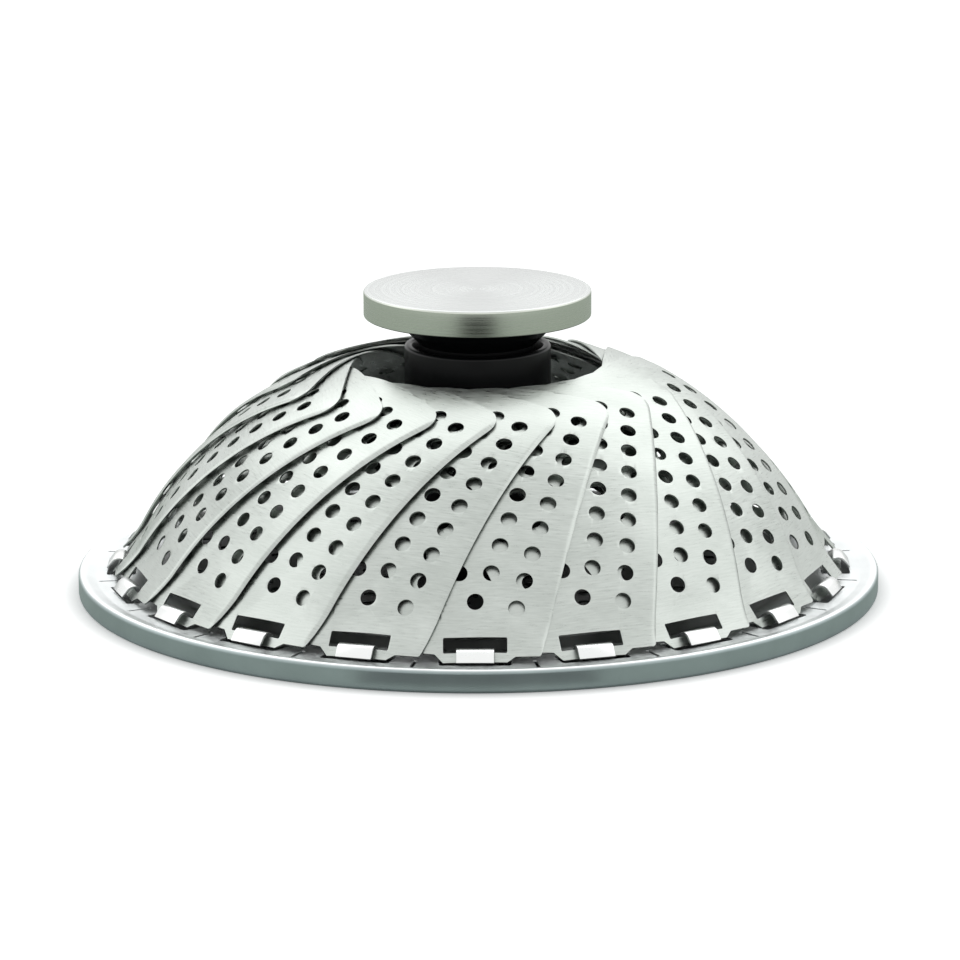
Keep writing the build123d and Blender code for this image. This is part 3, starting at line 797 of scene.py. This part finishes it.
def makePlate():
    bm = bmesh.new()
    flatRegion(bm, plate["fieldFlat"], plateHoles["centre"], [drawFieldHoles])
    raised(bm, bm.verts[:], plate["fieldTop"])
    before = set(bm.verts)
    flatRegion(bm, plate["flangeStart"], plate["stepEnd"], [drawWindows])
    raised(bm, [vert for vert in bm.verts if vert not in before], plate["flatTop"])
    foldCentre = (plate["rimRadius"] - plate["foldRadius"], plate["rimHeight"] - plate["foldRadius"])
    hemCentre = (plate["rimRadius"] - plate["hemRadius"], plate["hemRadius"])
    stepPoints = [(radius * mm, height * mm) for radius, height in plateStep]
    inner = [(plate["fieldFlat"], plate["fieldTop"]), *stepPoints, (plate["stepEnd"], plate["flatTop"])]
    outer = [
        (plate["flangeStart"], plate["flatTop"]),
        (plate["flangeStart"] + plate["easeOut"], plate["flatTop"] + plate["easeUp"]),
        (plate["rimRadius"] - plate["foldOut"], plate["rimHeight"] - plate["foldDrop"]),
        *arcPoints(foldCentre, plate["foldRadius"], plate["foldFrom"], 0),
        (plate["rimRadius"], (plate["rimHeight"] - plate["foldRadius"] + plate["hemRadius"]) / 2),
        *arcPoints(hemCentre, plate["hemRadius"], 0, -180),
        (plate["rimRadius"] - 2 * plate["hemRadius"], plate["hemTop"]),
    ]
    for points in (inner, outer):
        verts = [bm.verts.new((radius, 0, height)) for radius, height in points]
        edges = [bm.edges.new(pair) for pair in zip(verts, verts[1:])]
        spun(bm, verts, edges, plate["steps"])
    bmesh.ops.remove_doubles(bm, verts=bm.verts[:], dist=mergeGap)
    bmesh.ops.recalc_face_normals(bm, faces=bm.faces[:])
    highest = max(bm.faces, key=lambda face: face.calc_center_median().z)
    if highest.normal.z < 0:  # the sheet's thickness goes downwards
        bmesh.ops.reverse_faces(bm, faces=bm.faces[:])
    piece = newPiece("plateSheet", bm, plateSteel)
    sheetFinish(piece, plate["sheet"], -1, plate["edge"])
    smoothFaces(piece, 40)
    placePiece(applied(piece), "frame", "steel_sheet", "base_plate")


def stripSection(bm, width, sheet, place, heading, axis):
    # the flat end of a strip: wide along the axis, thin across the heading
    thin = axis.cross(heading)
    turn = Matrix((axis, thin, heading)).transposed().to_4x4()
    size = Matrix.Diagonal((width, sheet, 1, 1))
    made = bmesh.ops.create_grid(bm, x_segments=1, y_segments=1, size=0.5,
                                 matrix=Matrix.Translation(place) @ turn @ size)
    faces = list({face for vert in made["verts"] for face in vert.link_faces})
    edges = list({edge for vert in made["verts"] for edge in vert.link_edges})
    return faces, edges


def bevelStrip(bm, width):
    # the extrusions leave a wall inside at every step, which goes first
    walls = [face for face in bm.faces if all(len(edge.link_faces) > 2 for edge in face.edges)]
    bmesh.ops.delete(bm, geom=walls, context="FACES_ONLY")
    bmesh.ops.recalc_face_normals(bm, faces=bm.faces[:])
    edges = [edge for edge in bm.edges if edge.calc_face_angle(0) > sharpEdge]
    bmesh.ops.bevel(bm, geom=edges, offset=width, offset_type="OFFSET", segments=2,
                    profile=0.5, affect="EDGES", material=-1)


def makeLugs():
    bm = bmesh.new()
    middle, root, riseRun, fallRun = lugPath()
    place = Vector((0, -root, plate["flatTop"] - lug["sheet"] / 2))
    heading = Vector((0, -1, 0))
    section = stripSection(bm, lug["width"], lug["sheet"], place, heading, xAxis)
    rise, fall = 90 - lug["innerLean"], 90 - lug["outerLean"]
    followPath(bm, section, place, heading, xAxis, [
        ("turn", lug["rootBend"], -rise), ("run", riseRun), ("turn", middle, rise + fall), ("run", fallRun),
    ])
    bevelStrip(bm, lug["edge"])
    pattern = newPiece("lugPattern", bm, lugSteel)
    places = [aboutAxis(turn) for turn in petalTurns]
    placePiece(copiesOf("plateLugs", pattern, places, lugSteel, 35), "frame", "steel_sheet")


makePlate()
makeLugs()
print("plate made")


# post, foot and telescoping stem

handle = {
    "postRadius": 15 * mm, "postTop": 51 * mm, "lip": 0.6 * mm, "mouthRadius": 13.5 * mm, "mouthDepth": 3.5 * mm,
    "guideLength": 3.5 * mm, "guideRadius": 12.3 * mm, "boreRadius": 13 * mm,
    "footRadius": 19 * mm, "footHeight": 3 * mm, "footEdge": 1 * mm, "screwHole": 2.65 * mm, "spigot": 3 * mm,
    "mouthEdge": 1 * mm, "spigotGap": 0.1 * mm, "nutRecess": 4.75 * mm, "nutSeat": 0.4 * mm,
    "stemRadius": 12 * mm, "soft": 0.25 * mm,
}
knob = {
    "radius": 23.3 * mm, "sheet": 0.8 * mm, "topEdge": 0.45 * mm, "lowEdge": 0.35 * mm, "lipWidth": 1.3 * mm,
    "lipHeight": 0.6 * mm, "gap": 0.15 * mm, "recess": 0.3 * mm, "neckRadius": 16.6 * mm, "neckCurve": 2.4 * mm,
    "flareRadius": 14.3 * mm, "flareHeight": 53.7 * mm, "flareCurve": 3 * mm, "lipEdge": 0.2 * mm,
    "coreEdge": 0.3 * mm, "spigotRadius": 9.3 * mm, "spigotLength": 5 * mm, "screwHole": 2.15 * mm,
}


def makePost():
    soft = handle["soft"]
    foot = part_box("post_base")[0][2]
    footTop = foot + handle["footHeight"]
    top = handle["postTop"]
    guideTop = top - handle["mouthDepth"]
    guideLow = guideTop - handle["guideLength"]
    tube = lathe("postTube", roundedOutline([
        (handle["boreRadius"], footTop, 0), (handle["postRadius"], footTop, soft),
        (handle["postRadius"], top, handle["lip"]), (handle["mouthRadius"], top, handle["lip"]),
        (handle["guideRadius"], guideTop, handle["mouthEdge"]), (handle["guideRadius"], guideLow, 0),
        (handle["boreRadius"], guideLow, 0),
    ]), blackPlastic)
    placePiece(tube, "frame", "black_plastic", "post")
    spigotRadius = handle["boreRadius"] - handle["spigotGap"]
    base = lathe("postFoot", roundedOutline([
        (handle["screwHole"], foot, 0), (handle["footRadius"], foot, soft),
        (handle["footRadius"], footTop, handle["footEdge"]), (spigotRadius, footTop, 0),
        (spigotRadius, footTop + handle["spigot"], soft), (handle["nutRecess"], footTop + handle["spigot"], 0),
        (handle["screwHole"], footTop + handle["nutSeat"], 0),
    ]), blackPlastic)
    placePiece(base, "frame", "black_plastic", "post_base")


def makeKnob():
    gap, radius = knob["gap"], knob["radius"]
    low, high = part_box("knob_cap")[0][2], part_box("knob_cap")[1][2]
    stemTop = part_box("stem")[1][2]
    lip = radius - knob["lipWidth"]
    inner = radius - knob["sheet"]
    lipEdge, coreEdge = knob["lipEdge"], knob["coreEdge"]
    cap = lathe("knobCap", roundedOutline([
        (0, high, 0), (radius, high, knob["topEdge"]), (radius, low, knob["lowEdge"]), (lip, low, lipEdge),
        (lip, low + knob["lipHeight"], lipEdge), (inner, low + knob["lipHeight"], 0),
        (inner, high - knob["sheet"], 0), (0, high - knob["sheet"], 0),
    ]), capSteel, steps=200)
    placePiece(cap, "handle", "knob_steel", "knob_cap")
    under = low + knob["recess"]
    hole = knob["screwHole"]
    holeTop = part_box("knob_screw")[1][2] + gap
    core = lathe("knobCore", roundedOutline([
        (0, high - knob["sheet"] - gap, 0), (inner - gap, high - knob["sheet"] - gap, coreEdge),
        (inner - gap, low + knob["lipHeight"] + gap, 0), (lip - gap, low + knob["lipHeight"] + gap, 0),
        (lip - gap, under, coreEdge), (knob["neckRadius"], under, knob["neckCurve"]),
        (knob["flareRadius"], knob["flareHeight"], knob["flareCurve"]), (handle["stemRadius"], stemTop, 0),
        (knob["spigotRadius"], stemTop, 0),
        (knob["spigotRadius"], stemTop - knob["spigotLength"], 0), (hole, stemTop - knob["spigotLength"], 0),
        (hole, holeTop, 0), (0, holeTop, 0),
    ]), blackPlastic)
    placePiece(core, "handle", "black_plastic", "knob_insert")


makePost()
makeKnob()
print("handle made")


# folding legs, their clips and rivets

def makeLegs():
    for index, turn in enumerate(ringTurns(legSizes["count"])):
        number = index + 1
        bm = bmesh.new()
        corner = legSizes["corner"]
        place = Vector((0, -legHingeRadius, legHingeHeight))
        facing = xAxis.to_track_quat("Z", "Y").to_matrix().to_4x4()
        made = bmesh.ops.create_circle(bm, cap_ends=False, segments=16, radius=legSizes["wire"] / 2,
                                       matrix=Matrix.Translation(place) @ facing)
        edges = list({edge for vert in made["verts"] for edge in vert.link_edges})
        side = ("run", legSizes["length"] - 2 * corner)
        half = ("run", legSizes["width"] / 2 - corner)
        whole = ("run", legSizes["width"] - 2 * corner)
        bendHere = ("turn", corner, 90)
        followPath(bm, ([], edges), place, xAxis, zAxis,
                   [half, bendHere, side, bendHere, whole, bendHere, side, bendHere, half])
        bmesh.ops.remove_doubles(bm, verts=bm.verts[:], dist=mergeGap)
        bmesh.ops.recalc_face_normals(bm, faces=bm.faces[:])
        rotated(bm, bm.verts[:], turn)
        piece = newPiece(f"legWire_{number}", bm, wireSteel)
        smoothFaces(piece, 60)
        placePiece(piece, f"leg_{number}_body", "leg_wire", f"leg_{number}")
        makeClip(number, turn)


def makeClip(number, turn):
    bm = bmesh.new()
    sheet = legSizes["clipSheet"]
    inner = legSizes["wire"] / 2 + legSizes["clipGap"]
    middle = inner + sheet / 2
    bend = legSizes["clipBend"]
    drop = inner - sheet / 2
    start = Vector((0, -legHingeRadius - legSizes["clipReach"], legHingeHeight + drop))
    heading = Vector((0, 1, 0))
    section = stripSection(bm, legSizes["clipWidth"], sheet, start, heading, xAxis)
    foot = ("run", legSizes["clipReach"] - middle - bend)
    wall = ("run", drop - bend)
    followPath(bm, section, start, heading, xAxis, [
        foot, ("turn", bend, -90), wall, ("turn", middle, 180), wall, ("turn", bend, -90), foot,
    ])
    bevelStrip(bm, legSizes["clipEdge"])
    rotated(bm, bm.verts[:], turn)
    piece = newPiece(f"legSaddle_{number}", bm, fastenerSteel)
    smoothFaces(piece, 35)
    placePiece(piece, "frame", "steel_sheet", f"leg_clip_{number}")


def makeRivets():
    shank, head, tall = legSizes["rivetRadius"], legSizes["headRadius"], legSizes["headHeight"]
    low = plate["fieldTop"] - plate["sheet"] - legSizes["clipSheet"]
    high = plate["fieldTop"]
    dome = tall * legSizes["headRound"]
    pattern = lathe("rivetPattern", roundedOutline([
        (0, low - tall, 0), (head, low - tall, dome), (head, low, 0), (shank, low, 0),
        (shank, high, 0), (head, high, 0), (head, high + tall, dome), (0, high + tall, 0),
    ]), fastenerSteel, steps=32)
    places = [Matrix.Translation((x, y, 0)) for x, y in rivetPlaces()]
    piece = copiesOf("legRivets", pattern, places, fastenerSteel, 32)
    placePiece(piece, "frame", "fastener_steel", "leg_rivets")


makeLegs()
makeRivets()
print("legs made")


# nodes that keep their CAD shape get their finish here

keptFinishes = {
    "stem": blackPlastic, "stop_ring": blackPlastic, "friction_ring": blackRubber,
    "base_screw": fastenerSteel, "base_washer": fastenerSteel, "base_nut": fastenerSteel,
    "knob_screw": fastenerSteel, "knob_washer": fastenerSteel,
}
for nodeName, finish in keptFinishes.items():
    node = frame["nodes"][nodeName]
    node.data.materials.clear()
    node.data.materials.append(finish)
    node.data.set_sharp_from_angle(angle=radians(30))
print("kept nodes finished")


# floor, light and camera

studio = {
    "floorSize": 2, "floorColour": (0.93, 0.94, 0.94), "floorGlow": 0.56, "glowStart": 0.078, "glowEnd": 0.086,
    "skyForDiffuse": 0.35, "skyColour": (0.97, 1, 0.99), "skyDepth": 2.5, "cardSteps": 64,
}
# flat grey cards lying round the basket, which only reflections show; turns are degrees from the front
cards = [
    {"name": "greyApron", "grey": (0.43, 0.47, 0.43), "height": 0.4 * mm, "from": 0.0835, "to": 1.6,
     "turns": (0, 360)},
    {"name": "darkStrip", "grey": (0.005, 0.005, 0.005), "height": 0.8 * mm, "from": 0.0845, "to": 0.8,
     "turns": (-17, 17)},
]
lamps = [  # name, place, size, watts; each faces the basket
    ("topLamp", (0.05, 0.75, 1.0), (2, 1.2), 6.5),
    ("leftLamp", (-1.1, 0.1, 0.7), (0.8, 1.2), 1.5),
    ("rightLamp", (1.1, 0, 0.8), (0.8, 1.2), 1.3),
]
cameraView = {
    "tilt": 0.2386, "distance": 1.0725, "lookHeight": 0.0222, "lens": 195.2, "roll": -0.0037, "shift": 0.002,
}


def makeFloor():
    bm = bmesh.new()
    bmesh.ops.create_grid(bm, x_segments=1, y_segments=1, size=studio["floorSize"] / 2)
    material, nodes, links, shader = newMaterial("floorWhite")
    coordinates = nodes.new("ShaderNodeTexCoord").outputs["Object"]
    distance = axisDistance(nodes, links, coordinates)[0]
    # none of the glow shows under the basket
    outside = mapped(nodes, links, distance, studio["glowStart"], studio["glowEnd"], 0, studio["floorGlow"])
    path = nodes.new("ShaderNodeLightPath")
    glow = mathNode(nodes, links, "MULTIPLY", path.outputs["Is Camera Ray"], outside)
    setInputs(links, shader, {
        "Base Color": (*studio["floorColour"], 1), "Roughness": 0.9, "Specular IOR Level": 0,
        "Emission Color": (1, 1, 1, 1), "Emission Strength": glow,
    })
    floor = newPiece("floor", bm, material)


def makeCards():
    for card in cards:
        bm = bmesh.new()
        near = bm.verts.new((card["from"], 0, card["height"]))
        far = bm.verts.new((card["to"], 0, card["height"]))
        edge = bm.edges.new((near, far))
        first, last = card["turns"]
        rotated(bm, [near, far], radians(first - 90))
        spun(bm, [near, far], [edge], studio["cardSteps"], radians(last - first), last - first == 360)
        bmesh.ops.recalc_face_normals(bm, faces=bm.faces[:])
        material, _, links, shader = newMaterial(card["name"])
        setInputs(links, shader, {
            "Base Color": (0, 0, 0, 1), "Specular IOR Level": 0,
            "Emission Color": (*card["grey"], 1), "Emission Strength": 1,
        })
        sheet = newPiece(card["name"], bm, material)
        sheet.visible_camera = sheet.visible_diffuse = sheet.visible_shadow = False


def makeSky():
    world = bpy.data.worlds.new("studioSky")
    scene = bpy.context.scene
    scene.world = world
    world.use_nodes = True
    nodes, links = world.node_tree.nodes, world.node_tree.links
    nodes.clear()
    lit = nodes.new("ShaderNodeBackground")
    setInputs(links, lit, {"Color": (*studio["skyColour"], 1), "Strength": studio["skyForDiffuse"]})
    seen = nodes.new("ShaderNodeBackground")
    setInputs(links, seen, {"Color": (1, 1, 1, 1), "Strength": 1})
    path = nodes.new("ShaderNodeLightPath")
    seenBy = path.outputs["Is Camera Ray"]
    for rays in ("Is Glossy Ray", "Is Transmission Ray"):
        seenBy = mathNode(nodes, links, "MAXIMUM", seenBy, path.outputs[rays])
    # deep inside the basket the sky counts for less
    early = mathNode(nodes, links, "LESS_THAN", path.outputs["Ray Depth"], studio["skyDepth"])
    shown = mathNode(nodes, links, "MULTIPLY", seenBy, early)
    mix = nodes.new("ShaderNodeMixShader")
    output = nodes.new("ShaderNodeOutputWorld")
    setInputs(links, mix, {0: shown, 1: lit.outputs[0], 2: seen.outputs[0]})
    links.new(mix.outputs[0], output.inputs["Surface"])


def makeLamps():
    aim = Vector((0, 0, cameraView["lookHeight"]))
    for name, place, size, watts in lamps:
        light = bpy.data.lights.new(name, "AREA")
        light.shape = "RECTANGLE"
        light.size, light.size_y = size
        light.energy = watts
        lamp = bpy.data.objects.new(name, light)
        facing = (Vector(place) - aim).to_track_quat("Z", "Y").to_matrix().to_4x4()
        lamp.matrix_world = Matrix.Translation(place) @ facing
        bpy.context.collection.objects.link(lamp)


def makeCamera():
    tilt, distance = cameraView["tilt"], cameraView["distance"]
    data = bpy.data.cameras.new("camera")
    data.lens = cameraView["lens"]
    data.shift_x = cameraView["shift"]
    camera = bpy.data.objects.new("camera", data)
    place = Vector((0, -distance * cos(tilt), cameraView["lookHeight"] + distance * sin(tilt)))
    turn = Matrix.Rotation(pi / 2 - tilt, 4, "X") @ Matrix.Rotation(cameraView["roll"], 4, "Z")
    camera.matrix_world = Matrix.Translation(place) @ turn
    bpy.context.collection.objects.link(camera)
    bpy.context.scene.camera = camera


makeFloor()
makeCards()
makeSky()
makeLamps()
makeCamera()
bpy.context.scene.view_settings.view_transform = "Standard"
print("studio made")
